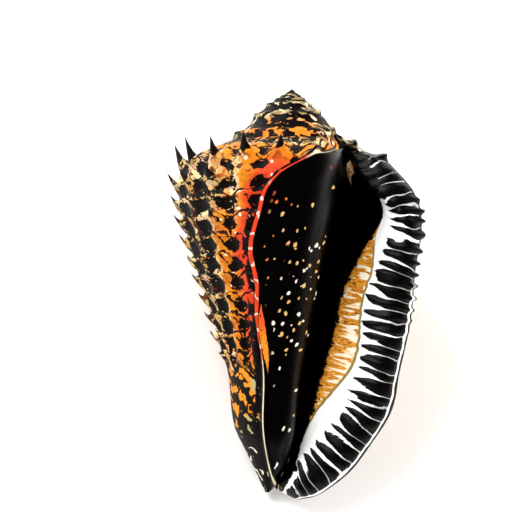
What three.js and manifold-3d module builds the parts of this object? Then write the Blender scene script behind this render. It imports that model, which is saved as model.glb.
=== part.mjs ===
// A spiny, cone-shaped sea snail shell: low stepped spire, ribbed body whorl with rows of upturned spines,
// a smooth callus over the front, a deep throat and a broad flared outer lip with cross ribs.
// It grew as one piece, so it is one closed solid, lying on its back with the opening up.
//
// Shell frame: the coiling axis is Z with the apex at the top, the opening faces -Y and the outer lip is at +X.
// A level is a distance down the axis from the apex. A growth angle runs the way the shell grew:
// 0 at the front, 90 at the left, 180 at the back and 270 at the right, where the lip flares.

import * as THREE from 'three';
import { mergeVertices } from 'three/addons/utils/BufferGeometryUtils.js';
import Module from 'manifold-3d';

// Driving dimensions, in millimetres and degrees
const LENGTH = 118.2; // apex to the tip of the siphonal canal
const WHORL_GROWTH = 1.5; // how much wider the body whorl is after one turn
const FIRST_ANGLE = -75; // growth angle where the inner wall turns into the throat
const LAST_ANGLE = 265; // growth angle where the body whorl flares into the lip
const RIB_PITCH = 20; // between axial ribs
const FIRST_RIB = 5; // growth angle of one rib crest
const SPIRE_LEVEL = 16; // level of the last suture, where the body whorl begins
const SHOULDER_LEVEL = 24.5; // level of the largest row of spines
const ROW_PITCH = 5.4; // between rows of spines, along the axis
const LAST_SPINE_LEVEL = 82;
const CANAL_NOTCH = 2.6; // how far the canal's end is cut back between its two tips
const SUTURE_RADIUS = 17.5; // radius of the last suture at the left
const CALLUS_TOP = 16; // level where the callus begins, under the spire
const CALLUS_HEIGHT = 0.9;
const THROAT_DEPTH = 0.5; // of the throat's floor behind the axis, as a share of the body's radius
const LIP_RIB_HEIGHT = 0.45;
const LIP_THICKNESS = 3.4;
const LIP_ROLL = 3.2; // how far the lip's rounded face stands in front of its edges

// How the shell lies: turned about its own axis, then laid back, then settled on worn spine tips
const REST_ROLL = -9;
const REST_TILT = -67;
const WEAR = 0.8;

// Grid of the solid: rows down the axis and columns around it
const SPIRE_ROWS = 12;
const RAMP_ROWS = 5;
const ROWS_PER_SPINE_ROW = 4;
const BASE_ROWS = 25;
const STEPS_BETWEEN_RAILS = 2;

const UP = new THREE.Vector3(0, 0, 1);
const { lerp, smoothstep, degToRad } = THREE.MathUtils;

// A smooth curve through [level, value, ...] points; returns the values at a level
function curve(points) {
	const size = points[0].length - 1;
	const interpolant = new THREE.CubicInterpolant(
		points.map((point) => point[0]),
		points.flatMap((point) => point.slice(1)),
		size,
	);
	return (level) => [...interpolant.evaluate(level)];
}

// Radius of the body whorl at the left side
const profile = curve([
	[0, 0], [5.3, 7.2], [16, 17.4], [21, 26.4], [27, 30.9], [36, 30.4], [53, 25], [71, 18.2],
	[84, 14.2], [100, 11.2], [107, 7.4], [LENGTH, 1.4],
]);

// Share of the spiral growth that shows in the radius, fading towards the canal
const growthShare = curve([[0, 1], [27, 1], [70, 1], [95, 0.5], [LENGTH, 0.2]]);

// Share of the spiral growth that shows along the axis: the shoulder winds down, the canal ends level
const descentShare = curve([[0, 1], [16, 1.1], [SHOULDER_LEVEL, 1.8], [45, 0.9], [85, 0], [LENGTH, 0]]);

// How far the inner wall draws in towards the axis at the throat, as a share of its radius
const inset = curve([[0, 0], [14, 0], [20, 0.3], [27, 0.4], [75, 0.42], [100, 0.5], [LENGTH, 0.1]]);

// Left edge of the callus: level, distance to the right of the axis
const callusEdge = curve([
	[17, 19.5], [18.8, 10.6], [22.4, 2.1], [28.3, -5.1], [37, -7.7], [46.9, -9.3], [57.2, -7],
	[66.3, -6.5], [82.7, -3.7], [99.6, -2.8], [LENGTH, 1.4],
]);

// Edges of the lip: level, distance to the right of the axis, distance below the apex
const throatEdge = curve([
	[10, 14.4, 11], [20, 17.8, 18.4], [30, 21.6, 26], [34, 26.2, 30], [39, 28.3, 35], [48, 23.4, 45],
	[58.5, 17.9, 57], [71.5, 15.5, 71], [88, 11.6, 88], [100, 9.2, 100], [108, 7.3, 106.5], [LENGTH, 4.6, 114.8],
]);
const bandEdge = curve([
	[10, 16.8, 12], [18, 19.4, 18.8], [25.5, 23.6, 26.6], [30.2, 29.4, 32.4], [34, 31, 36.4],
	[48, 27.6, 50.4], [58, 25, 60], [72.4, 24.6, 73.5], [83, 23.6, 83], [92, 20.9, 91.5],
	[100, 15.6, 99.6], [106, 11, 104.6], [112, 8.3, 107.6], [LENGTH, 6.6, 112],
]);
const lipEdge = curve([
	[10, 18.4, 12.2], [11.4, 21.6, 13.6], [17.6, 31, 22], [20.6, 35.8, 27], [23.5, 38.4, 31.8],
	[28.6, 39.5, 38.6], [42, 38.4, 50.2], [60.5, 37.5, 66], [80, 34.9, 81.5], [92, 33, 93],
	[100, 28.5, 101.5], [106, 22.5, 110.5], [112, 14.5, 117.4], [LENGTH, 8, 119.7],
]);

// How far the lip's edge stands in front of the axis
const lipForward = curve([[10, 0], [17, 4], [28, 9], [56, 10], [85, 8], [105, 5], [LENGTH, 3]]);

// How far the throat is hollowed out: 0 is flush with its edges and 1 is its full depth
const hollowed = curve([[0, 0], [22, 0], [30, 0.4], [40, 1], [50, 1], [90, 1], [104, 0.7], [112, 0.15], [LENGTH, 0]]);

// Levels between which the lip and throat open out of the round spire
const LIP_STARTS = 10;
const LIP_FORMED = 17;

// Point of the plain body whorl at a level of the left side and a growth angle;
// where the coil closes on itself the age, an angle too, falls back by a turn
function bodyPoint(level, angle, age = angle) {
	const growth = WHORL_GROWTH ** ((age - 90) / 360);
	const drawnIn = inset(level)[0] * smoothstep(-angle, 5, -FIRST_ANGLE);
	const radius = profile(level)[0] * lerp(1, growth, growthShare(level)[0]) * (1 - drawnIn);
	const besideCanal = smoothstep(angle, 150, 230) + smoothstep(-angle, -20, 40);
	const notch = CANAL_NOTCH * besideCanal * smoothstep(level, LENGTH - 10, LENGTH);
	const descent = level * lerp(1, growth, descentShare(level)[0]) - notch;
	const turn = degToRad(angle);
	return new THREE.Vector3(-radius * Math.sin(turn), -radius * Math.cos(turn), -descent);
}

// Outward direction of the plain body whorl
function bodyNormal(level, angle, age) {
	const step = 0.6;
	const above = bodyPoint(Math.max(level - step, 0), angle, age);
	const below = bodyPoint(level + step, angle, age);
	const spread = Math.hypot(below.x, below.y) - Math.hypot(above.x, above.y);
	const turn = degToRad(angle);
	return new THREE.Vector3(-Math.sin(turn), -Math.cos(turn), spread / (above.z - below.z)).normalize();
}

// Signed distance inside the callus edge, positive on the callus
function callusDistance(point) {
	const step = 0.5;
	const edge = callusEdge(-point.z)[0];
	const slope = (callusEdge(-point.z + step)[0] - callusEdge(-point.z - step)[0]) / (2 * step);
	return (point.x - edge) / Math.hypot(1, slope);
}

// Share of the callus that covers a point of the body whorl
function callusCover(point, angle) {
	if (point.z > -CALLUS_TOP || Math.abs(angle) > 90) return 0;
	return smoothstep(callusDistance(point), -0.6, 0.6);
}

// Strength of the axial ribs, 1 on a crest and 0 between two
function ribAt(angle) {
	return 0.5 + 0.5 * Math.cos((2 * Math.PI * (angle - FIRST_RIB)) / RIB_PITCH);
}

// Strength of the spine rows: a sharp upper edge and a long slope below it
function rowAt(level) {
	const rows = (level - SHOULDER_LEVEL) / ROW_PITCH;
	const below = rows - Math.round(rows);
	if (rows < -0.5) return 0;
	return below < 0 ? Math.max(0, 1 + below / 0.2) : Math.max(0, 1 - below / 0.5);
}

// Height of the spines at a level, largest at the shoulder
function spineHeight(level) {
	const shoulder = 1 - smoothstep(level, SHOULDER_LEVEL, SHOULDER_LEVEL + ROW_PITCH);
	const share = (level - SHOULDER_LEVEL) / (LAST_SPINE_LEVEL - SHOULDER_LEVEL);
	return lerp(2.8, 1.5, share) + 0.9 * shoulder;
}

// Stepped whorls of the spire, with a groove at each suture
function spireStep(level, angle, point) {
	if (level > SPIRE_LEVEL) return 0;
	const radius = Math.hypot(point.x, point.y);
	const whorls = Math.log(radius / SUTURE_RADIUS) / Math.log(WHORL_GROWTH) - (angle - 90) / 360;
	const across = whorls - Math.floor(whorls);
	const step = Math.sin(2 * Math.PI * across ** 1.8 - Math.PI / 2);
	return radius * (0.03 * step + 0.04 * Math.max(0, step) * ribAt(angle));
}

// Point of the sculpted body whorl
function sculptedBody(level, angle, age = angle) {
	const point = bodyPoint(level, angle, age);
	const outward = bodyNormal(level, angle, age);
	const cover = callusCover(point, angle);
	const bare = 1 - cover;
	const rib = ribAt(angle);
	const fadeBelow = 1 - smoothstep(level, LAST_SPINE_LEVEL - 6, LAST_SPINE_LEVEL + 2);
	const fadeAtLip = 1 - smoothstep(angle, LAST_ANGLE - 55, LAST_ANGLE - 20);
	const onRamp = smoothstep(level, SPIRE_LEVEL, SHOULDER_LEVEL - 1);
	const fadeAtThroat = smoothstep(angle, FIRST_ANGLE, FIRST_ANGLE + 30);
	const sculpture = bare * fadeBelow * fadeAtLip * fadeAtThroat;
	const ribs = 1.1 * (rib - 0.5) * onRamp * sculpture;
	const spine = spineHeight(level) * rib ** 2 * rowAt(level) * sculpture;
	const lift = 0.6;
	return point
		.addScaledVector(outward, ribs + spine + cover * CALLUS_HEIGHT + spireStep(level, angle, point))
		.addScaledVector(UP, lift * spine);
}

// Rails of the throat and the lip at a level, from the inner wall to the back of the lip
function lipRails(level) {
	const inner = sculptedBody(level, FIRST_ANGLE);
	const [throatX, throatV] = throatEdge(level);
	const [bandX, bandV] = bandEdge(level);
	const [edgeX, edgeV] = lipEdge(level);
	const forward = lipForward(level)[0];
	const throatY = lerp(inner.y + 1.2, -0.45 * forward, smoothstep(level, LIP_STARTS, SHOULDER_LEVEL));
	const throat = new THREE.Vector3(throatX, throatY, -throatV);
	const hollow = hollowed(level)[0];
	const floorY = lerp((inner.y + throat.y) / 2, THROAT_DEPTH * profile(level)[0], hollow);
	const leftWall = inner.clone().lerp(throat, lerp(0.25, 0.06, hollow)).setY(lerp(inner.y, floorY, 0.5));
	const floor = inner.clone().lerp(throat, 0.5).setY(floorY);
	const rightWall = inner.clone().lerp(throat, lerp(0.75, 1.04, hollow)).setY(lerp(throat.y, floorY, 0.5));
	return [
		leftWall,
		floor,
		rightWall,
		throat,
		new THREE.Vector3(bandX, -forward - 0.5, -bandV),
		new THREE.Vector3(lerp(bandX, edgeX, 0.55), -forward - LIP_ROLL, -lerp(bandV, edgeV, 0.55)),
		new THREE.Vector3(edgeX, -forward, -edgeV),
		new THREE.Vector3(edgeX - 1.2, LIP_THICKNESS - forward, -edgeV + 0.8),
	];
}
const RAIL_COUNT = 8;
const BAND_RAIL = 5; // first rail of the ribbed band, counted from the inner wall
const EDGE_RAIL = 7; // rail of the lip's edge

// Catmull-Rom point between the second and third of four
function between(before, from, to, after, share) {
	const path = new THREE.CatmullRomCurve3([before, from, to, after], false, 'catmullrom', 0.5);
	return path.getPoint((1 + share) / 3);
}

// One closed ring of points around the shell at a level
function ring(level, row) {
	const angles = [];
	for (let angle = FIRST_ANGLE; angle <= LAST_ANGLE; angle += RIB_PITCH / 2) angles.push(angle);
	const points = angles.map((angle) => sculptedBody(level, angle));

	const formed = smoothstep(level, LIP_STARTS, LIP_FORMED);
	const ribbed = smoothstep(level, LIP_FORMED - 2, LIP_FORMED + 2);
	const gap = FIRST_ANGLE + 360 - LAST_ANGLE;
	const rails = lipRails(Math.max(level, LIP_STARTS)).map((rail, index) => {
		const share = (index + 1) / (RAIL_COUNT + 1);
		const angle = FIRST_ANGLE + 360 - gap * share;
		const onSpire = sculptedBody(level, angle, lerp(FIRST_ANGLE, LAST_ANGLE, share));
		return onSpire.lerp(rail, formed);
	});
	const knots = [points[1], points[0], ...rails, points.at(-1), points.at(-2)];
	for (let index = RAIL_COUNT + 1; index >= 1; index--) {
		for (let step = 0; step < STEPS_BETWEEN_RAILS; step++) {
			if (index === RAIL_COUNT + 1 && step === 0) continue;
			const share = 1 - step / STEPS_BETWEEN_RAILS;
			const point = between(...knots.slice(index - 1, index + 3), share);
			const place = index - 1 + share;
			const onBand = smoothstep(place, BAND_RAIL - 1, BAND_RAIL) * (1 - smoothstep(place, EDGE_RAIL - 0.6, EDGE_RAIL));
			point.y -= LIP_RIB_HEIGHT * onBand * ribbed * (row % 2 ? 1 : -1);
			points.push(point);
		}
	}
	return points;
}

// Levels of the rows, closer where the spines are
function rowLevels() {
	const levels = [];
	for (let row = 1; row <= SPIRE_ROWS; row++) levels.push((SPIRE_LEVEL * row) / SPIRE_ROWS);
	for (let row = 1; row <= RAMP_ROWS; row++) levels.push(lerp(SPIRE_LEVEL, SHOULDER_LEVEL, row / RAMP_ROWS));
	const step = ROW_PITCH / ROWS_PER_SPINE_ROW;
	while (levels.at(-1) + step < LAST_SPINE_LEVEL + 2) levels.push(levels.at(-1) + step);
	const base = levels.at(-1);
	for (let row = 1; row <= BASE_ROWS; row++) levels.push(lerp(base, LENGTH, row / BASE_ROWS));
	return levels;
}

// Closed surface through all the rings, with a point at the apex and a fan in the canal's notch
function shellSurface() {
	const rings = rowLevels().map(ring);
	const columns = rings[0].length;
	const apex = new THREE.Vector3(0, 0, 0);
	const notch = new THREE.Vector3();
	for (const point of rings.at(-1)) notch.addScaledVector(point, 1 / columns);
	const corners = [apex, ...rings.flat(), notch];
	const index = [];
	const at = (row, column) => 1 + row * columns + (column % columns);
	for (let column = 0; column < columns; column++) {
		index.push(0, at(0, column + 1), at(0, column));
		for (let row = 0; row + 1 < rings.length; row++) {
			index.push(at(row, column), at(row, column + 1), at(row + 1, column));
			index.push(at(row, column + 1), at(row + 1, column + 1), at(row + 1, column));
		}
		index.push(corners.length - 1, at(rings.length - 1, column), at(rings.length - 1, column + 1));
	}
	return new THREE.BufferGeometry().setFromPoints(corners).setIndex(index);
}

// Exact solid of a closed geometry
function solid(geometry) {
	const bare = new THREE.BufferGeometry().setAttribute('position', geometry.getAttribute('position'));
	const welded = mergeVertices(bare.setIndex(geometry.getIndex()), 1e-4);
	return new wasm.Manifold(new wasm.Mesh({
		numProp: 3,
		vertProperties: welded.getAttribute('position').array,
		triVerts: new Uint32Array(welded.getIndex().array),
	}));
}

// Geometry of an exact solid
function geometryOf(body) {
	const { vertProperties, triVerts } = body.getMesh();
	const geometry = new THREE.BufferGeometry();
	geometry.setAttribute('position', new THREE.BufferAttribute(vertProperties, 3));
	geometry.setIndex(new THREE.BufferAttribute(triVerts, 1));
	geometry.computeVertexNormals();
	return geometry;
}

// The shell laid on its back over the origin, its lowest spine tips worn flat at the ground
function laidDown(surface) {
	surface.rotateZ(degToRad(REST_ROLL));
	surface.rotateX(degToRad(REST_TILT));
	surface.computeBoundingBox();
	const { min, max } = surface.boundingBox;
	surface.translate(-(min.x + max.x) / 2, -(min.y + max.y) / 2, -min.z - WEAR);
	const ground = new THREE.BoxGeometry(2 * LENGTH, 2 * LENGTH, LENGTH).translate(0, 0, -LENGTH / 2);
	return geometryOf(solid(surface).subtract(solid(ground)));
}

const wasm = await Module();
wasm.setup();
const material = new THREE.MeshStandardMaterial({ name: 'shell', color: '#b8701f', roughness: 0.4, metalness: 0 });
const shell = new THREE.Mesh(laidDown(shellSurface()), material);
shell.name = 'shell';

const part = new THREE.Group();
part.name = 'cone_shell';
part.add(shell);
export default part;
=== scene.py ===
# %% [markdown]
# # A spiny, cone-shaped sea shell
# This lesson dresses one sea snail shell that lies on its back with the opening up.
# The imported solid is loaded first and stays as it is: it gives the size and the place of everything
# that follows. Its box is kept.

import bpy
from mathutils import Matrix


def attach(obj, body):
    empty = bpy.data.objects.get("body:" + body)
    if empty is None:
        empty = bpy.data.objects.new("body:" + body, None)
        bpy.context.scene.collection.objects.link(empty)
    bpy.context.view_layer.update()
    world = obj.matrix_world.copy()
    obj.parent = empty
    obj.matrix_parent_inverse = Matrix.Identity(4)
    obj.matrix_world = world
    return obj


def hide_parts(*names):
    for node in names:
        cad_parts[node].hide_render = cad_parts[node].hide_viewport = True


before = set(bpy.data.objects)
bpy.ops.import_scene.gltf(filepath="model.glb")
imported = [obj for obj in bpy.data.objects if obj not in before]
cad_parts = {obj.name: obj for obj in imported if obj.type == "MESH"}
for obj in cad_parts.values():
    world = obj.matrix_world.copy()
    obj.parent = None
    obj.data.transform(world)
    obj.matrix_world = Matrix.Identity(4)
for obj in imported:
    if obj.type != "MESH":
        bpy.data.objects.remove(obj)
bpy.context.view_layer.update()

import ast
import math

import bpy
import numpy as np
from mathutils import Matrix, Vector

# %% [markdown]
# ## Sizes
# A snail builds its shell along the edge of the opening, so every place on it has two natural numbers:
# the level, a distance down the coiling axis from the apex in millimetres, and the growth angle,
# which is 0 at the front, 90 at the left, 180 at the back and 270 at the right, where the lip flares.
# All sizes are in those units, in the shell's own frame: Z along the axis, the opening towards -Y.

# %% Driving dimensions, in millimetres and degrees
LENGTH = 118.2  # down the axis, from the apex to the canal's end
WHORL_GROWTH = 1.5  # how many times wider after one turn
FIRST_ANGLE = -75.0  # where the body turns into the throat
LAST_ANGLE = 265.0  # where the body flares into the lip
SPIRE_LEVEL = 16.0
SHOULDER_LEVEL = 24.5
LAST_SPINE_LEVEL = 82.0
RIB_PITCH = 20.0  # degrees from rib to rib
FIRST_RIB = 5.0
ROW_PITCH = 5.4
CANAL_NOTCH = 2.6
SUTURE_RADIUS = 17.5
THROAT_DEPTH = 0.5  # share of the whorl's radius
LIP_ROLL = 3.2  # how far the lip's rounded face stands in front of its edges
LIP_THICKNESS = 3.4
LIP_RIB_PITCH = 3.5
REST_ROLL = -9.0
REST_TILT = -67.0
MM = 0.001  # metres
print("length along the axis, mm:", LENGTH)

# %% [markdown]
# ## Drawn outlines
# The side profile, the edge of the callus and the three edges of the lip have no rule, so each is drawn
# with a few points and a smooth line runs through them. A library spline would do the same. This short
# one, with the mean slope of both neighbours at each point, is used because it needs no curve object.

# %% A smooth line through drawn points


def along(outline, level):
    """Values of a drawn outline at an array of levels."""
    table = np.array(outline, float).T
    knots, values = table[0], table[1:]
    steep = np.diff(values) / np.diff(knots)
    slopes = np.hstack([steep[:, :1], (steep[:, :-1] + steep[:, 1:]) / 2, steep[:, -1:]])
    level = np.clip(level, knots[0], knots[-1])
    index = np.clip(np.searchsorted(knots, level, side="right") - 1, 0, len(knots) - 2)
    gap = knots[index + 1] - knots[index]
    share = (level - knots[index]) / gap
    rise = share * share * (3 - 2 * share)
    leave = gap * share * (1 - share) ** 2
    arrive = -gap * share * share * (1 - share)
    flat = values[:, index] * (1 - rise) + values[:, index + 1] * rise
    return flat + slopes[:, index] * leave + slopes[:, index + 1] * arrive


def smooth(value, low, high):
    """0 below low, 1 above high and a smooth step between them."""
    share = np.clip((value - low) / (high - low), 0, 1)
    return share * share * (3 - 2 * share)


def mix(start, end, share):
    """A share of the way from start to end."""
    return start + (end - start) * share


print("half way between 0 and 10:", float(along([(0, 0), (1, 10)], np.array([0.5]))[0][0]))

# %% [markdown]
# ## The whorl's growth rule
# After one full turn the shell is half as wide again: radius times 1.5 to the power of the turns grown.
# The same rule, less strongly, carries the shoulder down the axis. The inner wall draws in towards the
# axis where it turns into the throat, and the canal's end is cut back between two small tips.

# %% Points of the bare whorl, from outlines of (level, value) points
PROFILE = [
    (0, 0), (5.3, 7.2), (16, 17.4), (21, 26.4), (27, 30.9), (36, 30.4), (53, 25), (71, 18.2),
    (84, 14.2), (100, 11.2), (107, 7.4), (LENGTH, 1.4),
]
GROWTH_SHARE = [(0, 1), (27, 1), (70, 1), (95, 0.5), (LENGTH, 0.2)]
DESCENT_SHARE = [(0, 1), (16, 1.1), (SHOULDER_LEVEL, 1.8), (45, 0.9), (85, 0), (LENGTH, 0)]
INSET = [(0, 0), (14, 0), (20, 0.3), (27, 0.4), (75, 0.42), (100, 0.5), (LENGTH, 0.1)]


def whorl(level, angle, age):
    """Points of the bare whorl; the age falls back by a turn where the coil closes on itself."""
    growth = WHORL_GROWTH ** ((age - 90) / 360)
    drawn_in = along(INSET, level)[0] * smooth(-angle, 5, -FIRST_ANGLE)
    wider = mix(1, growth, along(GROWTH_SHARE, level)[0])
    radius = along(PROFILE, level)[0] * wider * (1 - drawn_in)
    beside_canal = smooth(angle, 150, 230) + smooth(-angle, -20, 40)
    notch = CANAL_NOTCH * beside_canal * smooth(level, LENGTH - 10, LENGTH)
    descent = level * mix(1, growth, along(DESCENT_SHARE, level)[0]) - notch
    turn = np.radians(angle)
    return np.stack(np.broadcast_arrays(-radius * np.sin(turn), -radius * np.cos(turn), -descent), -1)


widest = along(PROFILE, np.linspace(0, LENGTH, 400)).max()
print("widest radius at the left, mm:", round(float(widest), 2))

# %% [markdown]
# ## The throat and the flared lip
# The adult snail stops coiling and thickens the edge of its opening into a broad rolled band. Eight rails
# run down the opening: three in the hollow of the throat, its edge, the band's inner edge, its rounded
# face, the sharp rim and the back of the rim. Each ring of the net is drawn smoothly across the rails.

# %% Outlines of the opening, as (level, right of the axis, below the apex) points
THROAT_EDGE = [
    (10, 14.4, 11), (20, 17.8, 18.4), (30, 21.6, 26), (34, 26.2, 30), (39, 28.3, 35), (48, 23.4, 45),
    (58.5, 17.9, 57), (71.5, 15.5, 71), (88, 11.6, 88), (100, 9.2, 100), (108, 7.3, 106.5),
    (LENGTH, 4.6, 114.8),
]
BAND_EDGE = [
    (10, 16.8, 12), (18, 19.4, 18.8), (25.5, 23.6, 26.6), (30.2, 29.4, 32.4), (34, 31, 36.4),
    (48, 27.6, 50.4), (58, 25, 60), (72.4, 24.6, 73.5), (83, 23.6, 83), (92, 20.9, 91.5),
    (100, 15.6, 99.6), (106, 11, 104.6), (112, 8.3, 107.6), (LENGTH, 6.6, 112),
]
LIP_EDGE = [
    (10, 18.4, 12.2), (11.4, 21.6, 13.6), (17.6, 31, 22), (20.6, 35.8, 27), (23.5, 38.4, 31.8),
    (28.6, 39.5, 38.6), (42, 38.4, 50.2), (60.5, 37.5, 66), (80, 34.9, 81.5), (92, 33, 93),
    (100, 28.5, 101.5), (106, 22.5, 110.5), (112, 14.5, 117.4), (LENGTH, 8, 119.7),
]
LIP_FORWARD = [(10, 0), (17, 4), (28, 9), (56, 10), (85, 8), (105, 5), (LENGTH, 3)]
HOLLOWED = [(0, 0), (22, 0), (30, 0.4), (40, 1), (50, 1), (90, 1), (104, 0.7), (112, 0.15), (LENGTH, 0)]
LIP_STARTS = 10.0
LIP_FORMED = 17.0
print("the lip opens between the levels", LIP_STARTS, "and", LIP_FORMED)

# %% Rails of the opening
SHALLOW_WALL = 0.25
DEEP_WALL = 0.06
WALL_OVERHANG = 0.04
CLOSED_THROAT = 1.2
THROAT_FORWARD = 0.45
BAND_FORWARD = 0.5
FACE_SHARE = 0.55
BEHIND_IN = 1.2
BEHIND_UP = 0.8


def rail(x, y, below):
    """A line of points from distances right of the axis, behind it and below the apex."""
    return np.stack(np.broadcast_arrays(x, y, -below), -1)


def lip_rails(level):
    """The eight rails at each level, from the inner wall to the back of the lip."""
    inner = whorl(level, FIRST_ANGLE, FIRST_ANGLE)
    throat_x, throat_v = along(THROAT_EDGE, level)
    band_x, band_v = along(BAND_EDGE, level)
    edge_x, edge_v = along(LIP_EDGE, level)
    forward = along(LIP_FORWARD, level)[0]
    opened = smooth(level, LIP_STARTS, SHOULDER_LEVEL)
    throat_y = mix(inner[:, 1] + CLOSED_THROAT, -THROAT_FORWARD * forward, opened)
    throat = rail(throat_x, throat_y, throat_v)
    hollow = along(HOLLOWED, level)[0]
    depth = THROAT_DEPTH * along(PROFILE, level)[0]
    floor_y = mix((inner[:, 1] + throat[:, 1]) / 2, depth, hollow)
    left_wall = mix(inner, throat, mix(SHALLOW_WALL, DEEP_WALL, hollow)[:, None])
    left_wall[:, 1] = mix(inner[:, 1], floor_y, 0.5)
    bottom = mix(inner, throat, 0.5)
    bottom[:, 1] = floor_y
    right_wall = mix(inner, throat, mix(1 - SHALLOW_WALL, 1 + WALL_OVERHANG, hollow)[:, None])
    right_wall[:, 1] = mix(throat[:, 1], floor_y, 0.5)
    band = rail(band_x, -forward - BAND_FORWARD, band_v)
    face_x = mix(band_x, edge_x, FACE_SHARE)
    face = rail(face_x, -forward - LIP_ROLL, mix(band_v, edge_v, FACE_SHARE))
    rim = rail(edge_x, -forward, edge_v)
    behind = rail(edge_x - BEHIND_IN, LIP_THICKNESS - forward, edge_v - BEHIND_UP)
    return [left_wall, bottom, right_wall, throat, band, face, rim, behind]


def across(knots, share):
    """Smooth points between the second and third of four knots."""
    before, start, end, after = knots
    bend = 2 * before - 5 * start + 4 * end - after
    twist = 3 * (start - end) + after - before
    return start + 0.5 * share * ((end - before) + share * (bend + share * twist))


RAIL_COUNT = len(lip_rails(np.array([SHOULDER_LEVEL])))
print("rails down the opening:", RAIL_COUNT)

# %% [markdown]
# ## The net of rings
# The rings sit close together where the spines will be and further apart on the plain base. Subdividing
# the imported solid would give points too, but not on rings and ribs, and the spines need both.
# Above the level where the lip starts, the rings close as plain turns of the spire.

# %% Rings round the body
COLUMNS_PER_RIB = 12
RINGS_PER_ROW = 16
FIRST_RING = 0.25
SPIRE_STEP = 0.26
SADDLE_STEP = 0.4
BASE_LEVEL = LAST_SPINE_LEVEL + 2
BASE_RINGS = 56
levels = np.concatenate([
    np.arange(FIRST_RING, SPIRE_LEVEL, SPIRE_STEP),
    np.arange(SPIRE_LEVEL, SHOULDER_LEVEL, SADDLE_STEP),
    np.arange(SHOULDER_LEVEL, BASE_LEVEL, ROW_PITCH / RINGS_PER_ROW),
    np.linspace(BASE_LEVEL + 0.3, LENGTH, BASE_RINGS),
])
angles = np.arange(FIRST_ANGLE, LAST_ANGLE + 0.01, RIB_PITCH / COLUMNS_PER_RIB)
row_count = len(levels)
body = whorl(levels[:, None], angles[None, :], angles[None, :])
print("rings:", row_count, "with", len(angles), "points round the body")

# %% Rings closed across the opening
STEPS_BETWEEN_RAILS = 8
formed = smooth(levels, LIP_STARTS, LIP_FORMED)[:, None]
gap_angle = FIRST_ANGLE + 360 - LAST_ANGLE
rails = []
for number, lip_rail in enumerate(lip_rails(np.maximum(levels, LIP_STARTS))):
    share = (number + 1) / (RAIL_COUNT + 1)
    on_spire = whorl(levels, FIRST_ANGLE + 360 - gap_angle * share, mix(FIRST_ANGLE, LAST_ANGLE, share))
    rails.append(mix(on_spire, lip_rail, formed))
beside = RIB_PITCH / 2
knots = [whorl(levels, FIRST_ANGLE + beside, FIRST_ANGLE + beside), body[:, 0], *rails]
knots += [body[:, -1], whorl(levels, LAST_ANGLE - beside, LAST_ANGLE - beside)]

strip_places = np.arange(RAIL_COUNT + 1, 0, -1 / STEPS_BETWEEN_RAILS)[1:]
strip = []
for place in strip_places:
    first = min(int(place), RAIL_COUNT)
    strip.append(across(knots[first:first + 4], place - first))
points = np.concatenate([body, np.stack(strip, 1)], 1)
column_count = points.shape[1]
print("net:", row_count, "rings of", column_count, "points")

# %% [markdown]
# ## Numbers that each point keeps
# The sculpture and the colours follow the growth, so each point keeps where it is: its level, growth
# angle and place across the opening, how far it is down the lip, and how far inside the callus's edge.
# A UV map could hold two such numbers. Attributes hold as many as are needed.

# %% Distance down the lip, square to its face
FACE_RAIL = 5
face_line = rails[FACE_RAIL]
face_steps = np.linalg.norm(np.diff(face_line, axis=0), axis=1)
lip_run = np.concatenate([[0], np.cumsum(face_steps)])
down_lip = np.gradient(face_line, axis=0)
down_lip /= np.linalg.norm(down_lip, axis=1)[:, None]
along_lip = lip_run[:, None] + np.einsum("rcx,rx->rc", points - face_line[:, None], down_lip)
print("lip face, mm long:", round(float(lip_run[-1]), 1))

# %% Growth angles and places across the opening
LEFT_SIDE = 95
body_place = np.where(angles < LEFT_SIDE, 0, RAIL_COUNT + 1)
places = np.concatenate([body_place, strip_places])
half_way = (RAIL_COUNT + 1) / 2
behind_lip = LAST_ANGLE + RAIL_COUNT + 1
strip_angles = np.where(strip_places < half_way, FIRST_ANGLE, behind_lip) - strip_places
all_angles = np.concatenate([angles, strip_angles])
spire_angles = np.concatenate([angles, LAST_ANGLE + gap_angle * (1 - strip_places / (RAIL_COUNT + 1))])
print("places across the opening:", len(strip_places))

# %% Distance inside the callus, from an outline of (below the apex, right of the axis) points
CALLUS_EDGE = [
    (17, 19.5), (18.8, 10.6), (22.4, 2.1), (28.3, -5.1), (37, -7.7), (46.9, -9.3), (57.2, -7),
    (66.3, -6.5), (82.7, -3.7), (99.6, -2.8), (LENGTH, 1.4),
]
WELL_INSIDE = 12
WELL_OUTSIDE = -20
below_apex = -points[:, :, 2]
edge_x = along(CALLUS_EDGE, below_apex)[0]
edge_slope = along(CALLUS_EDGE, below_apex + 0.5)[0] - along(CALLUS_EDGE, below_apex - 0.5)[0]
inside = (points[:, :, 0] - edge_x) / np.hypot(1, edge_slope)
inside = np.where(all_angles < LEFT_SIDE, inside, WELL_OUTSIDE)
in_throat = mix(WELL_INSIDE, WELL_OUTSIDE, smooth(places, 2, 4))
inside = np.where((places > 0) & (places < half_way), in_throat, inside)
print("points on the callus:", int((inside > 0).sum()))

# %% All that is kept
KEPT = {
    "level": np.broadcast_to(levels[:, None], below_apex.shape),
    "opening": np.broadcast_to(np.repeat([0, 1], [len(angles), len(strip_places)]), below_apex.shape),
    "growth_angle": np.broadcast_to(all_angles, below_apex.shape),
    "spire_angle": np.broadcast_to(spire_angles, below_apex.shape),
    "place": np.broadcast_to(places, below_apex.shape),
    "lip_run": along_lip,
    "below_apex": below_apex,
    "right_of_axis": points[:, :, 0],
    "axis_distance": np.hypot(points[:, :, 0], points[:, :, 1]),
    "callus_inside": inside,
}
print("kept at each point:", ", ".join(KEPT))

# %% [markdown]
# ## The bare shell, laid on the ground
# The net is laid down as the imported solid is: turned about its axis, tilted and put apex on apex.
# Its open ends are closed by two fans of triangles, one at the apex and one in the canal's notch.

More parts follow.
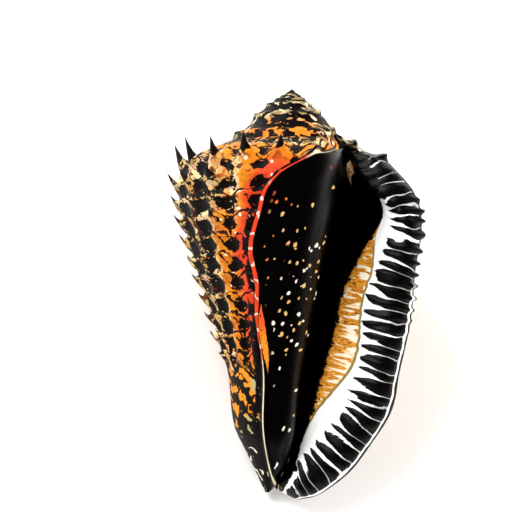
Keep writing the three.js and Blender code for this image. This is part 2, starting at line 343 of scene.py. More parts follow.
# %% From the shell's own frame to the ground
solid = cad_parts["shell"]
apex = max((vertex.co for vertex in solid.data.vertices), key=lambda corner: corner.y).copy()
laid = Matrix.Rotation(math.radians(REST_TILT), 3, "X") @ Matrix.Rotation(math.radians(REST_ROLL), 3, "Z")
to_ground = np.array(laid)


def on_ground(point):
    """A point of the shell's own frame, in millimetres, laid on the ground in metres."""
    return np.array(apex) + MM * np.asarray(point, float) @ to_ground.T


print("apex on the ground, m:", [round(place, 4) for place in apex])

# %% The net as a mesh


def bare_shell():
    """Closed mesh of all the rings, with a fan at the apex and one in the canal's notch."""
    notch = points[-1].mean(0)
    corners = on_ground(np.concatenate([points.reshape(-1, 3), [(0, 0, 0)], [notch]]))
    top = row_count * column_count
    index = np.arange(top).reshape(row_count, column_count)
    beside_index = np.roll(index, -1, 1)
    quads = np.stack([index[:-1], beside_index[:-1], beside_index[1:], index[1:]], -1).reshape(-1, 4)
    faces = quads.tolist()
    faces += [(top, *pair) for pair in zip(beside_index[0].tolist(), index[0].tolist())]
    faces += [(top + 1, *pair) for pair in zip(index[-1].tolist(), beside_index[-1].tolist())]
    mesh = bpy.data.meshes.new("cone_shell")
    mesh.from_pydata(corners.tolist(), [], faces)
    for name, values in KEPT.items():
        ends = [values[0].mean(), values[-1].mean()]
        kept = mesh.attributes.new(name, "FLOAT", "POINT")
        kept.data.foreach_set("value", np.concatenate([values.ravel(), ends]).astype(np.float32))
    return mesh


shell = bpy.data.objects.new("cone_shell", bare_shell())
bpy.context.scene.collection.objects.link(shell)
print("bare shell:", len(shell.data.vertices), "points,", len(shell.data.polygons), "faces")

# %% [markdown]
# ## Two helpers for node trees
# Both the sculpture and the colours are node trees. One helper adds any node with its settings and links.
# The other reads named lines of arithmetic and adds the nodes that work them out, because a rule such as
# the height of a spine is far easier to read as a line than as twenty boxes and wires.

# %% Add any node


def add_node(tree, kind, inputs=None, **settings):
    """A new node with its settings; each input is given a value or linked from another node's output."""
    node = tree.nodes.new(kind)
    for name, value in settings.items():
        setattr(node, name, value)
    for socket, value in (inputs or {}).items():
        if isinstance(value, bpy.types.NodeSocket):
            tree.links.new(value, node.inputs[socket])
        else:
            node.inputs[socket].default_value = value
    return node


print("nodes are added by one function")

# %% Work out named lines of arithmetic
OPERATIONS = {
    ast.Add: "ADD", ast.Sub: "SUBTRACT", ast.Mult: "MULTIPLY", ast.Div: "DIVIDE", ast.Pow: "POWER",
    ast.Gt: "GREATER_THAN", ast.Lt: "LESS_THAN", "sin": "SINE", "cos": "COSINE", "fract": "FRACT",
    "round": "ROUND", "abs": "ABSOLUTE", "min": "MINIMUM", "max": "MAXIMUM", "log": "LOGARITHM",
}


def work_out(tree, part, known):
    """The number or the node output that one part of a line stands for.

    smooth(x, none, full) steps smoothly from 0 at none to 1 at full, whichever of the two is larger.
    """
    if isinstance(part, ast.Constant):
        return float(part.value)
    if isinstance(part, ast.Name):
        return known[part.id]
    if isinstance(part, ast.UnaryOp):
        return -work_out(tree, part.operand, known)
    if isinstance(part, ast.BinOp):
        kind, terms = type(part.op), [part.left, part.right]
    elif isinstance(part, ast.Compare):
        kind, terms = type(part.ops[0]), [part.left, *part.comparators]
    else:
        kind, terms = part.func.id, part.args
    inputs = dict(enumerate(work_out(tree, term, known) for term in terms))
    if kind == "smooth":
        return add_node(tree, "ShaderNodeMapRange", inputs, interpolation_type="SMOOTHSTEP").outputs[0]
    return add_node(tree, "ShaderNodeMath", inputs, operation=OPERATIONS[kind]).outputs[0]


def reckon(tree, known, **lines):
    """Adds the nodes of each line in turn; the lines after it know its result by its name."""
    for name, text in lines.items():
        known[name] = work_out(tree, ast.parse(f"({text})").body[0].value, known)


SIZES = {
    "turn": 2 * math.pi, "mm": MM, "first_rib": FIRST_RIB, "rib_pitch": RIB_PITCH, "row_pitch": ROW_PITCH,
    "spire_level": SPIRE_LEVEL, "shoulder_level": SHOULDER_LEVEL, "last_spine_level": LAST_SPINE_LEVEL,
    "suture_radius": SUTURE_RADIUS, "whorl_growth": WHORL_GROWTH, "lip_rib_pitch": LIP_RIB_PITCH,
}
print("sizes that the lines know:", ", ".join(SIZES))

# %% [markdown]
# ## Sculpture by Geometry Nodes
# Ribs, rows of spines, spire steps and the lip's cross ribs all repeat. They could be modelled one by one,
# but one tree that raises them from the bare net by its attributes keeps them all on the growth rule.
# The heights, in millimetres, are inputs of the tree, and so is the seed of what is random.

# %% The sculpture tree and its inputs
RELIEF_SIZES = {
    "Rib height": 1.1,
    "First spine": 3.1,
    "Last spine": 1.8,
    "Shoulder extra": 1.2,
    "Spine lift": 1.0,
    "Callus height": 0.9,
    "Row cord": 0.35,
    "Callus cord": 0.45,
    "Lip rib height": 0.8,
    "Rim tooth": 1.3,
    "Seed": 4.0,
}
tree = bpy.data.node_groups.new("shell_sculpture", "GeometryNodeTree")
tree.interface.new_socket("Bare shell", in_out="INPUT", socket_type="NodeSocketGeometry")
tree.interface.new_socket("Shell", in_out="OUTPUT", socket_type="NodeSocketGeometry")
size_sockets = {}
for name in RELIEF_SIZES:
    size_sockets[name] = tree.interface.new_socket(name, in_out="INPUT", socket_type="NodeSocketFloat")
finish_socket = tree.interface.new_socket("Finish", in_out="INPUT", socket_type="NodeSocketMaterial")
given = add_node(tree, "NodeGroupInput")
form = dict(SIZES)
for name in RELIEF_SIZES:
    form[name.lower().replace(" ", "_")] = given.outputs[name]
for name in KEPT:
    attribute = add_node(tree, "GeometryNodeInputNamedAttribute", {"Name": name}, data_type="FLOAT")
    form[name] = attribute.outputs[0]
print("sculpture inputs:", ", ".join(RELIEF_SIZES))

# %% [markdown]
# ## Ribs and spines
# The edge of the snail's mantle folds outwards at each rib and row, and the fold hardens into a spine.
# A spine has a long slope below its point and a sharp drop above it. No two are quite alike: a number
# drawn for each from its rib and row changes its height a little. Near the callus they are worn low.

# %% Which rib and row a point is nearest to
reckon(
    tree, form,
    rib_number="(growth_angle - first_rib) / rib_pitch",
    row_number="(level - shoulder_level) / row_pitch",
    nearest_rib="round(rib_number)",
    nearest_row="round(row_number)",
    below_row="row_number - nearest_row",
)
spine_name = add_node(tree, "ShaderNodeCombineXYZ", {
    0: form["nearest_rib"], 1: form["nearest_row"], 2: form["seed"],
})
form["luck"] = add_node(tree, "ShaderNodeTexWhiteNoise", {"Vector": spine_name.outputs[0]}).outputs["Value"]
print("spine rows:", round((LAST_SPINE_LEVEL - SHOULDER_LEVEL) / ROW_PITCH), "below the shoulder's")

# %% Heights of the ribs, the rows' cords and the spines
reckon(
    tree, form,
    rib="0.5 + 0.5 * cos(turn * rib_number)",
    row="min(max(0, 1 + below_row / 0.2), max(0, 1 - below_row / 0.5)) * (row_number > -0.5)",
    cover="smooth(callus_inside, -0.6, 0.6) * (below_apex > 16)",
    round_body="smooth(growth_angle, 245, 210) * smooth(growth_angle, -75, -45)",
    bare="(1 - cover) * smooth(level, 84, 76) * round_body",
    down_rows="(level - shoulder_level) / (last_spine_level - shoulder_level)",
    on_shoulder="smooth(level, shoulder_level + row_pitch, shoulder_level)",
    height="first_spine + (last_spine - first_spine) * down_rows + shoulder_extra * on_shoulder",
    claw="(1 - 2 * abs(rib_number - nearest_rib)) ** 1.35 * row",
    kept_tall="smooth(0 - callus_inside, 1, 4) * smooth(level, 29, 26)",
    unworn="0.3 + 0.7 * max(smooth(0 - callus_inside, 3, 11), kept_tall)",
    spine="height * (0.82 + 0.36 * luck) * (0.7 * claw + 0.3 * claw ** 3) * bare * unworn",
    ribs="rib_height * (rib - 0.5) * smooth(level, spire_level, shoulder_level - 1) * bare",
    cords="row_cord * row * bare",
)
print("nodes after the spines:", len(tree.nodes))

# %% [markdown]
# ## Spire, callus and lip
# The spire's steps are the shoulders of earlier turns, so they follow the same growth rule: the logarithm
# of the radius tells how many turns ago a place was built. The callus is a glaze with a raised cord at
# its edge. The lip's cross ribs run square to its edge, wander a little, and end in small teeth.

# %% Heights of the spire's steps, the callus and the lip's ribs
reckon(
    tree, form,
    turns_ago="log(axis_distance / suture_radius, whorl_growth) - (spire_angle - 90) / 360",
    spire_wave="sin(turn * fract(turns_ago) ** 1.8 - turn / 4)",
    on_spire="smooth(level, spire_level + 0.2, spire_level - 0.2)",
    spire="axis_distance * (0.03 * spire_wave + 0.04 * max(0, spire_wave) * rib) * on_spire",
    edge_cord="callus_cord * max(0, 1 - abs(callus_inside) / 1.1) * smooth(below_apex, 18, 24)",
    on_band="smooth(place, 4.6, 5.1) * smooth(place, 6.9, 6.5) * smooth(level, 15, 19)",
    wander_down="lip_run / 4",
    wander_across="place / 2",
)
lip_place = add_node(tree, "ShaderNodeCombineXYZ", {0: form["wander_down"], 1: form["wander_across"]})
wander_noise = add_node(tree, "ShaderNodeTexNoise", {
    "Vector": lip_place.outputs[0], "Scale": 1.0, "Detail": 1.0,
})
form["wander"] = wander_noise.outputs[0]
reckon(
    tree, form,
    stripe="lip_run / lip_rib_pitch - 0.22 * (place - 6) + 1.5 * (wander - 0.5)",
    lip_rib="lip_rib_height * on_band * (0.5 - 0.5 * cos(turn * stripe))",
    on_rim="smooth(abs(place - 7.1), 0.7, 0.15) * smooth(below_apex, 26, 34) * smooth(below_apex, 72, 56)",
    tooth="rim_tooth * max(0, cos(turn * lip_run / lip_rib_pitch + 2)) * on_rim",
    raised="ribs + spine + cords + callus_height * cover + edge_cord + spire + lip_rib + tooth",
    outward="raised * mm",
    upward="spine * spine_lift * (0.15 + 0.85 * claw * claw) * mm",
)
print("nodes after the lip:", len(tree.nodes))

# %% [markdown]
# ## Raising the points
# The raised height pushes each point outwards, and the lift pushes spine points towards the apex as well,
# which gives the upturned claw. Points that would reach through the ground are worn flat there, as the
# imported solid's are. A few results stay on the mesh as attributes, so that the colours can follow them.

# %% Move the points, keep the results and end the tree
SCULPTED = ["spine", "spire_wave", "luck", "stripe"]
along_normal = add_node(tree, "ShaderNodeVectorMath", {
    0: add_node(tree, "GeometryNodeInputNormal").outputs[0], "Scale": form["outward"],
}, operation="SCALE")
to_apex = add_node(tree, "ShaderNodeVectorMath", {
    0: laid @ Vector((0, 0, 1)), "Scale": form["upward"],
}, operation="SCALE")
offset = add_node(tree, "ShaderNodeVectorMath", {
    0: along_normal.outputs[0], 1: to_apex.outputs[0],
}, operation="ADD")
moved = add_node(tree, "GeometryNodeSetPosition", {
    "Geometry": given.outputs["Bare shell"], "Offset": offset.outputs[0],
})
for name in SCULPTED:
    moved = add_node(tree, "GeometryNodeStoreNamedAttribute", {
        "Geometry": moved.outputs[0], "Name": name, "Value": form[name],
    }, data_type="FLOAT", domain="POINT")
where = add_node(tree, "ShaderNodeSeparateXYZ", {0: add_node(tree, "GeometryNodeInputPosition").outputs[0]})
form["above_ground"] = where.outputs[2]
reckon(tree, form, worn_height="max(above_ground, 0)")
worn = add_node(tree, "ShaderNodeCombineXYZ", {
    0: where.outputs[0], 1: where.outputs[1], 2: form["worn_height"],
})
moved = add_node(tree, "GeometryNodeSetPosition", {"Geometry": moved.outputs[0], "Position": worn.outputs[0]})
for kind in ["GeometryNodeSetShadeSmooth", "GeometryNodeRealizeInstances"]:
    moved = add_node(tree, kind, {"Geometry": moved.outputs[0]})
moved = add_node(tree, "GeometryNodeSetMaterial", {
    "Geometry": moved.outputs[0], "Material": given.outputs["Finish"],
})
add_node(tree, "NodeGroupOutput", {0: moved.outputs[0]})
print("sculpture tree:", len(tree.nodes), "nodes")

# %% [markdown]
# ## The shell's finish
# Shell aragonite, grown in layers: matt and ribbed outside, glazed where the snail's mantle
# wiped over it. The mantle also lays the pigment, which is why the colours follow rows, ribs and edges.
# An image could be wrapped round the shell, but colours placed by the mesh's attributes stay sharp and
# keep to the sculpture, and noise in real millimetres makes their edges ragged.

# %% A tree for the finish, and what it reads
# Noise by its blotch size in millimetres, its detail, its stretch and its turn in degrees
GRAINS = {
    "coarse": (9.0, 2.0, (1, 1, 1), 0),
    "medium": (3.6, 2.0, (1, 1, 1), 0),
    "other": (3.6, 2.0, (1, 1, 1), 40),
    "fine": (1.2, 2.0, (1, 1, 1), 0),
    "streak": (1.7, 3.0, (0.5, 1, 1), 0),
}
# Grown aragonite: dull, grainy pigment outside, and a smooth black or white glaze that mirrors softly
finish = bpy.data.materials.new("aragonite_shell")
finish.use_nodes = True
paint = finish.node_tree
paint.nodes.clear()
look = dict(SIZES)
for name in [*KEPT, *SCULPTED]:
    if name not in ("spire_angle", "axis_distance"):
        look[name] = add_node(paint, "ShaderNodeAttribute", attribute_name=name).outputs["Fac"]
coordinates = add_node(paint, "ShaderNodeTexCoord").outputs["Object"]
for name, (blotch, detail, stretch, turned) in GRAINS.items():
    in_blotches = add_node(paint, "ShaderNodeMapping", {
        "Vector": coordinates, "Rotation": (0, 0, math.radians(turned)),
        "Scale": [share / (blotch * MM) for share in stretch],
    })
    noise = add_node(paint, "ShaderNodeTexNoise", {
        "Vector": in_blotches.outputs[0], "Scale": 1.0, "Detail": detail,
    })
    look[name] = noise.outputs[0]
print("blotch sizes, mm:", {name: grain[0] for name, grain in GRAINS.items()})

# %% [markdown]
# ## Colours in coats
# Colours are written as the usual six-digit values and turned into the linear light that shaders need.
# Pigment lies in coats: a ground colour, then further colours, each laid on by a share from 0 to 1.

# %% Linear colours, and coats of them


def linear(code):
    """Linear colour of an sRGB hex value such as '#d87618'."""
    channels = [int(code[place:place + 2], 16) / 255 for place in (1, 3, 5)]
    return [c / 12.92 if c <= 0.04045 else ((c + 0.055) / 1.055) ** 2.4 for c in channels] + [1.0]


def coats(ground, *layers):
    """A ground colour with coats laid over it, each a colour and the name of its share."""
    under = linear(ground) if isinstance(ground, str) else ground
    for colour, share in layers:
        top = linear(colour) if isinstance(colour, str) else colour
        coat = add_node(paint, "ShaderNodeMix", {0: look[share], 6: under, 7: top}, data_type="RGBA")
        under = coat.outputs[2]
    return under


print("orange in linear light:", [round(channel, 3) for channel in linear("#e18a10")])

# %% [markdown]
# ## The ribbed outside
# Orange ribs with fine growth lines, red beside the callus, and a cream flank on one side of each rib that is
# painted light. The places of the ribs and rows are read again from the attributes, this time shifted by
# noise, so that no mark is ruler-straight.

# %% Where a place lies among the ribs and rows
reckon(
    paint, look,
    from_callus="5 * (coarse - 0.5) - callus_inside",
    rib_place="(growth_angle - first_rib) / rib_pitch + 0.42 * (medium - 0.5) + 0.2 * (fine - 0.5)",
    beside_rib="rib_place - round(rib_place)",
    row_place="(level - shoulder_level) / row_pitch + 0.5 * (other - 0.5) + 0.2 * (fine - 0.5)",
    below_row="row_place - round(row_place)",
    on_back="smooth(growth_angle, 110, 150)",
    far_left="smooth(from_callus + 0.08 * max(0, level - 42), 9, 13)",
    left_front="far_left * (1 - on_back)",
)
print("nodes that place the ribs' colours:", len(paint.nodes))

# %% Colours of the ribs
reckon(
    paint, look,
    deeper="smooth(medium, 0.45, 0.58)",
    reddened="smooth(from_callus, 7, 3) * smooth(below_apex, 19, 24) * smooth(below_apex, 86, 72)",
    bleached="smooth(other, 0.44, 0.56)",
    browned="smooth(medium, 0.56, 0.58)",
    rosy="smooth(medium, 0.43, 0.4)",
    golden="smooth(coarse, 0.6, 0.64)",
    all_pale="far_left * (1 - on_back * (coarse < 0.5))",
    # One flank of each rib is painted paler, as painted light on its lit side; at the far left the pale is
    # the shell's own colour.
    flank="max(smooth(beside_rib, 0.06, 0.16), all_pale) * smooth(from_callus, 5, 8)",
    growth_line="0.45 * smooth(cos(turn * (4 * row_place + 1.5 * fine)), 0.75, 0.95)",
)
flank_colour = coats(
    "#c9a763", ("#dfc68f", "bleached"), ("#57210c", "browned"), ("#d9a98c", "rosy"), ("#d39a4a", "golden"),
)
rib_colour = coats(
    "#e18a10", ("#d8761a", "deeper"), ("#d63a14", "reddened"), (flank_colour, "flank"),
    ("#7a3a0c", "growth_line"),
)
print("nodes after the ribs' colours:", len(paint.nodes))

# %% [markdown]
# ## Black pits, painted shade and lines
# Between the ribs lie black pits, crossed by thin cords: dark pigment, with painted shade in the grooves.
# Black hooks of painted shadow hang under the spines, slashes cross the ribs, arched lines cover the saddle
# above the shoulder, and the claws have black points, partly painted shade.
# Each is a thin band round a line in the ribs' and rows' own places, so they all follow the growth.

# %% Coloured parts of the scales, and the black lines on them
reckon(
    paint, look,
    rib_swell="(0.29 + 0.09 * cos(turn * below_row)) * (0.7 + 0.6 * luck)",
    rib_width="rib_swell * (1 - 0.28 * left_front) + 0.12 * smooth(level, 34, 27)",
    rib_part="smooth(rib_width - abs(beside_rib - 0.05), -0.02, 0.02)",
    cord_line="smooth(0.1 + 0.7 * (other - 0.5) - abs(below_row), -0.015, 0.015)",
    thread_width="0.4 * (fine - 0.5) - 0.02 - 0.03 * far_left",
    thread="smooth(thread_width - abs(abs(below_row) - 0.3), -0.015, 0.015)",
    # Hooks: painted shadow, black crescents under the overhanging edge of each spine.
    hook_width="0.06 + 0.22 * (coarse - 0.5) - 0.06 * smooth(level, 36, 28)",
    hook="smooth(hook_width - abs(below_row + 0.2 - 1.8 * beside_rib * beside_rib), -0.02, 0.02)",
    slash_width="0.03 + 0.3 * (other - 0.5)",
    slash_line="smooth(slash_width - abs(beside_rib + 0.02 + 0.4 * below_row), -0.015, 0.015)",
    slash="slash_line * (below_row > 0.08) * smooth(level, 28, 34)",
    saddle_line="cos(turn * ((level - 3 * (2 * beside_rib) ** 2) / 2.7 + 0.9 * medium))",
    on_saddle="smooth(level + 4 * (other - 0.5), 27, 24)",
    saddle="smooth(saddle_line - 0.35 * smooth(growth_angle, 5, 25), 0.25, 0.45) * on_saddle",
    wander="smooth(0.034 * far_left - 0.018 * on_back - 0.006 - abs(other - 0.5), -0.008, 0.008)",
    # Claw points: black pigment at the tips, partly painted shade on their hollow upper sides.
    claw_tip="smooth(spine + 1.6 * (medium - 0.5) + 0.45 * left_front, 1.9, 2.1)",
    black_line="max(max(hook, slash), max(saddle, max(claw_tip, wander)))",
    scale_part="max(max(rib_part, cord_line), thread) * (1 - black_line)",
)
print("nodes after the black lines:", len(paint.nodes))

# %% Small pale dots near the callus
DOT_CELL = 2.6
dots = add_node(paint, "ShaderNodeTexVoronoi", {"Vector": coordinates, "Scale": 1 / (DOT_CELL * MM)})
dot_draw = add_node(paint, "ShaderNodeSeparateColor", {0: dots.outputs["Color"]})
look["dot_luck"], look["dot_size"] = dot_draw.outputs[:2]
look["from_dot"] = dots.outputs["Distance"]
reckon(
    paint, look,
    dot_shape="smooth(0.14 + 0.1 * dot_size - from_dot, -0.03, 0.03)",
    dot="(dot_luck > 0.6) * dot_shape * smooth(from_callus, 13, 9)",
)
dotted_colour = coats(rib_colour, ("#f6d9bf", "dot"))
# Black ground under the coloured scales: the shell's dark pigment between the ribs, with painted shade in the
# grooves.
ribbed_colour = coats("#060201", (dotted_colour, "scale_part"))
print("dots are spread over cells of", DOT_CELL, "mm")

# %% [markdown]
# ## The spire and the base
# Both are black with paler marks. The spire's streaks run along its steps and turn orange at the front.
# The base has leaf-like marks, orange and then olive, and a few white strokes at the canal's tip.

# %% Colours of the spire
reckon(
    paint, look,
    spire_pale="smooth(medium, 0.45, 0.6)",
    front_orange="smooth(level + 6 * (medium - 0.5), 8, 12) * smooth(abs(growth_angle - 10), 60, 35)",
    spire_mark="smooth(streak + 0.03 * spire_wave, 0.54, 0.56)",
    on_spire="smooth(level + 5 * (medium - 0.5), 18, 16)",
)
spire_fill = coats("#8f7a4c", ("#e6d9b8", "spire_pale"), ("#d9801f", "front_orange"))
spire_colour = coats("#060100", (spire_fill, "spire_mark"))
print("nodes after the spire:", len(paint.nodes))

# %% Colours of the base
reckon(
    paint, look,
    base_line="cos(turn * (0.2 * level + 0.03 * growth_angle + 3.4 * coarse + 1.5 * medium + 0.3 * fine))",
    base_olive="smooth(coarse + 0.012 * (level - 92) + 0.03 * (5 - from_callus), 0.5, 0.56)",
    leaf_gap="smooth(other + 0.03 * (97 - level), 0.48, 0.54) * smooth(abs(other - 0.5), 0.04, 0.055)",
    tip_mark="smooth(base_line, 0.6, 0.7) * smooth(level, 101, 104) * smooth(medium, 0.44, 0.48)",
    base_mark="max(smooth(base_line, -0.3, -0.1) * leaf_gap, tip_mark)",
    on_base="smooth(level + 14 * (medium - 0.5), 80, 83)",
)
base_fill = coats("#d8841c", ("#a9a06a", "base_olive"), ("#efe7d2", "tip_mark"))
base_colour = coats("#040100", (base_fill, "base_mark"))
outside = coats(ribbed_colour, (spire_colour, "on_spire"), (base_colour, "on_base"))
print("nodes after the base:", len(paint.nodes))

# %% [markdown]
# ## The callus
# The mantle wipes a black glaze over the front of the shell, with small pale flecks in it. Each fleck is
# the middle of one cell of a scattered net, and a number drawn for the cell decides whether it shows.
# The flecks crowd together along the middle of the callus, a painted highlight on its rounded ridge, and are
# warmer near its upper left edge.

# %% Flecks in the glaze
FLECK_CELL = 1.9
FLECK_LENGTHENED = 1.5
look |= {"fleck_width": FLECK_CELL, "fleck_length": FLECK_CELL * FLECK_LENGTHENED}
reckon(
    paint, look,
    fleck_across="(right_of_axis + 1.2 * (medium - 0.5) + 0.25 * below_apex) / fleck_width",
    fleck_down="(below_apex + 1.5 * (fine - 0.5)) / fleck_length",
)
fleck_place = add_node(paint, "ShaderNodeCombineXYZ", {0: look["fleck_across"], 1: look["fleck_down"]})
flecks = add_node(paint, "ShaderNodeTexVoronoi", {
    "Vector": fleck_place.outputs[0], "Scale": 1.0,
}, voronoi_dimensions="2D")
fleck_draw = add_node(paint, "ShaderNodeSeparateColor", {0: flecks.outputs["Color"]})
look["fleck_luck"], look["fleck_size"], look["fleck_hue"] = fleck_draw.outputs[:3]
look["from_fleck"] = flecks.outputs["Distance"]
print("flecks are spread over cells of", FLECK_CELL, "mm")

# %% Colours of the callus
reckon(
    paint, look,
    # Crowding the flecks along the callus's ridge paints a stippled highlight there.
    in_crowd="smooth(abs(right_of_axis - 6 + 0.07 * (below_apex - 46)), 7, 3)",
    crowded="0.26 + 0.55 * in_crowd * smooth(below_apex, 38, 46) * smooth(below_apex, 84, 68)",
    fleck_sides="smooth(callus_inside, 2, 4) * smooth(right_of_axis, 14, 12)",
    fleck_zone="fleck_sides * smooth(below_apex, 22, 26) * smooth(below_apex, 104, 96)",
    fleck="(fleck_luck < crowded) * smooth(0.08 + 0.16 * fleck_size - from_fleck, -0.04, 0.04) * fleck_zone",
    white_fleck="fleck_hue > 0.5",
    warm_fleck="(fleck_hue > 0.35) * smooth(callus_inside, 13, 9) * smooth(below_apex, 58, 50)",
    callus_part="smooth(callus_inside + 0.8, -0.1, 0.1) * (below_apex > 16.5)",
)
fleck_colour = coats("#cfa866", ("#efe8d4", "white_fleck"), ("#dd6a2c", "warm_fleck"))
callus_colour = coats("#020101", (fleck_colour, "fleck"))
print("nodes after the callus:", len(paint.nodes))

# %% [markdown]
# ## The cord along the callus
# A thin raised cord edges the callus: red with pale beads in the middle, a thin pale line at both ends.
# A black gutter of painted shade runs beside it, and a short orange sliver lies just inside it.

# %% Colours of the gutter's painted shade, the cord and the sliver
reckon(
    paint, look,
    # The gutter is painted shade: a black strip beside the raised cord.
    gutter_place="smooth(callus_inside + 1.6 * (medium - 0.5), -2.7, -2.5) * smooth(callus_inside, 0.2, 0)",
    gutter_run="smooth(below_apex + 8 * (medium - 0.5), 33, 36) * smooth(0.62 - medium, 0, 0.05)",
    gutter="gutter_place * gutter_run",
    cord_swell="smooth(below_apex, 24, 34) * smooth(below_apex, 72, 62)",
    cord_width="0.2 + 0.38 * cord_swell + 0.25 * (other - 0.5)",
    cord_part="smooth(cord_width - abs(callus_inside), -0.06, 0.06) * smooth(below_apex, 18, 20)",
    bead="smooth(cos(turn * (below_apex / 4.6 + 1.5 * medium)), 0.72, 0.9) * smooth(below_apex, 26, 32)",
    cord_end="max(smooth(below_apex, 76, 84), smooth(right_of_axis, 4, 7))",
    sliver_width="1.8 * smooth(below_apex, 61, 69) * smooth(below_apex, 84, 75)",
    sliver_shape="smooth(sliver_width - 2 * abs(callus_inside - 1.25) + 1.6 * (fine - 0.5), 0, 0.15)",
    sliver="sliver_shape * smooth(below_apex, 61, 64) * smooth(below_apex, 84, 80)",
    sliver_end="smooth(below_apex, 68, 74)",
    sliver_speck="smooth(fine, 0.58, 0.62)",
)
cord_colour = coats("#d03a1a", ("#f3c3ab", "bead"), ("#d8cba9", "cord_end"))
sliver_colour = coats("#e2551c", ("#dd8a1e", "sliver_end"), ("#7a2c08", "sliver_speck"))
outside = coats(
    outside, (callus_colour, "callus_part"), ("#040100", "gutter"), (cord_colour, "cord_part"),
    (sliver_colour, "sliver"),
)
print("nodes after the cord:", len(paint.nodes))

# %% [markdown]
# ## The throat and the lip
# The hollow of the throat is painted black, as painted shade in the deep recess. Its right wall is orange
# with pale streaks, and the lip beyond it is
# white with black cross stripes that lie on its ribs. The place across the opening counts the rails:
# 4 is the throat's edge, 5 the band's inner edge, 6 the lip's face and 7 its rim.

# %% Where a place lies across the opening
LIP_GRAIN = 1.2
GRAINS_PER_RAIL = 1.6
look |= {"lip_grain": LIP_GRAIN, "grains_per_rail": GRAINS_PER_RAIL}
reckon(paint, look, grain_down="lip_run / lip_grain", grain_across="place * grains_per_rail")
lip_map = add_node(paint, "ShaderNodeCombineXYZ", {0: look["grain_down"], 1: look["grain_across"]})
for name, scale, detail in [("ragged", 1.0, 2.0), ("wavy", 0.3, 1.0)]:
    noise = add_node(paint, "ShaderNodeTexNoise", {
        "Vector": lip_map.outputs[0], "Scale": scale, "Detail": detail,
    })
    look[name] = noise.outputs[0]
reckon(
    paint, look,
    on_lip="(opening > 0.5) * smooth(level, 13, 16)",
    wall_ends="1.5 * smooth(below_apex, 34, 27) + 1.2 * smooth(below_apex, 104, 112)",
    at_wall="smooth(place + 0.5 * (ragged - 0.5) + 0.2 * (wavy - 0.5) - wall_ends, 4.03, 4.07)",
    # The hollow is painted shade: the deep throat, and its ends at the top and down the canal, painted black.
    hollow="on_lip * (place < 6.2) * (1 - at_wall)",
    wall_part="on_lip * max(at_wall, place > 6.2) * smooth(place, 7.75, 7.7)",
)
print("nodes that place the lip's colours:", len(paint.nodes))

# %% Colours of the throat's wall
reckon(
    paint, look,
    wall_shade="smooth(ragged, 0.42, 0.34)",
    wall_streak="smooth(ragged + 0.25 * (wavy - 0.5) + 0.16 * (place - 4.4), 0.53, 0.58)",
    wall_line="smooth(0.018 - abs(ragged + 0.3 * (wavy - 0.5) - 0.46), -0.006, 0.006)",
    dash="smooth(ragged + 0.3 * (fine - 0.5) - 0.9 * (place - 4.1), 0.5, 0.52)",
    orange_reach="0.84 * smooth(below_apex, 34, 54) * smooth(below_apex, 104, 74)",
    past_orange="place - 4 - orange_reach - 0.06 * (wavy - 0.5)",
    white_part="smooth(past_orange, -0.02, 0.02)",
    edge_run="smooth(below_apex, 40, 46) * smooth(below_apex, 104, 98)",
    wall_edge="smooth(0.04 - abs(past_orange), -0.01, 0.01) * edge_run",
)
wall_colour = coats(
    "#eb9f33", ("#b8701d", "wall_shade"), ("#f6ead0", "wall_streak"), ("#93501a", "wall_line"),
    ("#150b03", "dash"), ("#fbfaf7", "white_part"), ("#8f7a3c", "wall_edge"),
)
print("nodes after the throat's wall:", len(paint.nodes))

# %% Black stripes on the white lip, and its black rim
reckon(paint, look, stripe_number="round(stripe)")
stripe_draw = add_node(paint, "ShaderNodeTexWhiteNoise", {"W": look["stripe_number"]}, noise_dimensions="1D")
look["stripe_luck"] = stripe_draw.outputs["Value"]
reckon(
    paint, look,
    stripe_wave="cos(turn * (stripe + 0.25 * (ragged - 0.5)))",
    gap_narrows="0.41 - 0.44 * smooth(place, 4.95, 6.7) + 0.45 * smooth(place, 5.3, 4.85)",
    gap_differs="0.4 * (stripe_luck - 0.5) + 0.5 * (wavy - 0.5) - 0.2 * smooth(below_apex, 42, 30)",
    gap_share="min(max(gap_narrows + gap_differs, 0), 1)",
    stripe_part="smooth(cos(turn / 2 * gap_share) - stripe_wave, -0.07, 0.07)",
    finger="place + 0.35 * (ragged - 0.5) + 0.3 * (stripe_luck - 0.5) - 0.6 * smooth(below_apex, 108, 114)",
    outer_end="smooth(place + 0.12 * (wavy - 0.5) + 0.5 * max(0, stripe_luck - 0.7), 6.74, 6.79)",
    band_part="smooth(finger, 4.87, 4.9) * (1 - outer_end * smooth(below_apex, 52, 62))",
    rim_notch="0.12 * smooth(below_apex, 60, 44) * smooth(ragged, 0.45, 0.55)",
    rim_part="smooth(place + 0.3 * (wavy - 0.5) + rim_notch, 6.93, 6.97)",
    dark_part="max(stripe_part * band_part, rim_part)",
)
lip_colour = coats(wall_colour, ("#030202", "dark_part"))
print("nodes after the lip's stripes:", len(paint.nodes))

# %% Small marks in the throat and the canal, and all the colours together
reckon(
    paint, look,
    leaf_width="0.6 * smooth(below_apex, 19.5, 22) * smooth(below_apex, 27, 23.5)",
    leaf_shape="smooth(leaf_width - abs(right_of_axis - 18.2 - 0.25 * (below_apex - 21)), 0, 0.1)",
    leaf="leaf_shape * (opening > 0.5) * (place < 4.2)",
    leaf_pale="smooth(fine, 0.45, 0.5)",
    stroke_line="smooth(cos(turn * (right_of_axis / 2.6 + 0.1 * below_apex + 1.2 * medium)), 0.8, 0.9)",
    canal_end="smooth(below_apex, 107, 109) * (callus_inside > 1.2)",
    canal_stroke="stroke_line * canal_end * smooth(other, 0.46, 0.5)",
)
leaf_colour = coats("#e07a22", ("#e9d9b4", "leaf_pale"))
